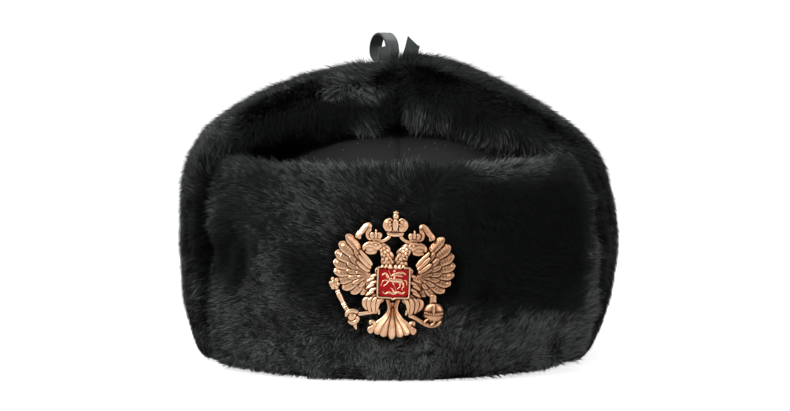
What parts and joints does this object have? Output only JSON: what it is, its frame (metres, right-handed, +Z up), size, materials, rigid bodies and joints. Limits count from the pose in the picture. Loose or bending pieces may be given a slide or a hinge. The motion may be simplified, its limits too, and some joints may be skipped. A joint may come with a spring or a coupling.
{
  "type": "fur ushanka hat with cap badge",
  "caption": "Black fur ushanka with a cloth crown, ear flaps tied up over it with tape, a turned-up visor and a cast eagle badge with a red shield.",
  "frame": {"origin": "middle of the hat's outline in plan, on the surface that its lower rim rests on", "axes": "+Z up, -Y towards the visor and badge, +X to the right of a viewer in front"},
  "size_m": [0.2508, 0.28, 0.1808],
  "materials": {
    "black_cloth": "matt woven wool cloth, black",
    "black_fur": "dense black pile, 12 to 15 mm, grey sheen on the tips",
    "black_tape": "smooth black satin tape",
    "copper_gold": "cast and plated copper gold, darker in the recesses",
    "red_enamel": "glossy red enamel"
  },
  "bodies": {
    "root": {"head_band": "black_cloth", "crown_front_left": "black_cloth", "crown_front_right": "black_cloth", "crown_back_left": "black_cloth", "crown_back_right": "black_cloth", "front_flap": "black_fur", "neck_flap": "black_fur", "ear_flap_left": "black_fur", "ear_flap_right": "black_fur", "tie_knot": "black_tape", "tie_loop": "black_tape", "tie_end_right": "black_tape", "tie_end_front": "black_tape", "tie_strap_left": "black_tape", "tie_strap_right": "black_tape", "badge": "copper_gold", "badge_shield": "red_enamel"}
  },
  "joints": []
}
